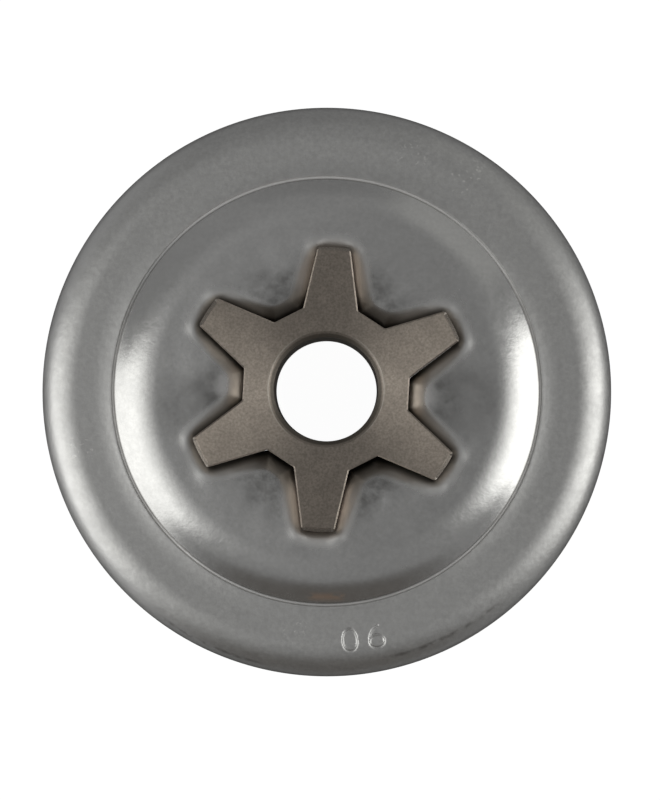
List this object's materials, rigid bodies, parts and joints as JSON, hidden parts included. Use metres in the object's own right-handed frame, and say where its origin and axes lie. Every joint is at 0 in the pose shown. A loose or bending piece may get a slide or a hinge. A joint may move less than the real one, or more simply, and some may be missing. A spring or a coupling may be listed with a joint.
{
  "type": "chainsaw clutch drum",
  "caption": "Drawn sheet-steel clutch drum with a raised centre and a toothed spur sprocket brazed into it; turns on a needle bearing in its bore and drives a saw chain.",
  "frame": {"origin": "middle of the open rim, on the rim plane", "axes": "+Z along the bore towards the sprocket, +Y along one tooth"},
  "size_m": [0.063, 0.063, 0.0285],
  "materials": {
    "drum_steel": "drawn sheet, satin, with fine scratches",
    "sprocket_steel": "sintered, matt brownish grey"
  },
  "bodies": {
    "root": {"drum_cup": "drum_steel", "chain_sprocket": "sprocket_steel"}
  },
  "joints": []
}
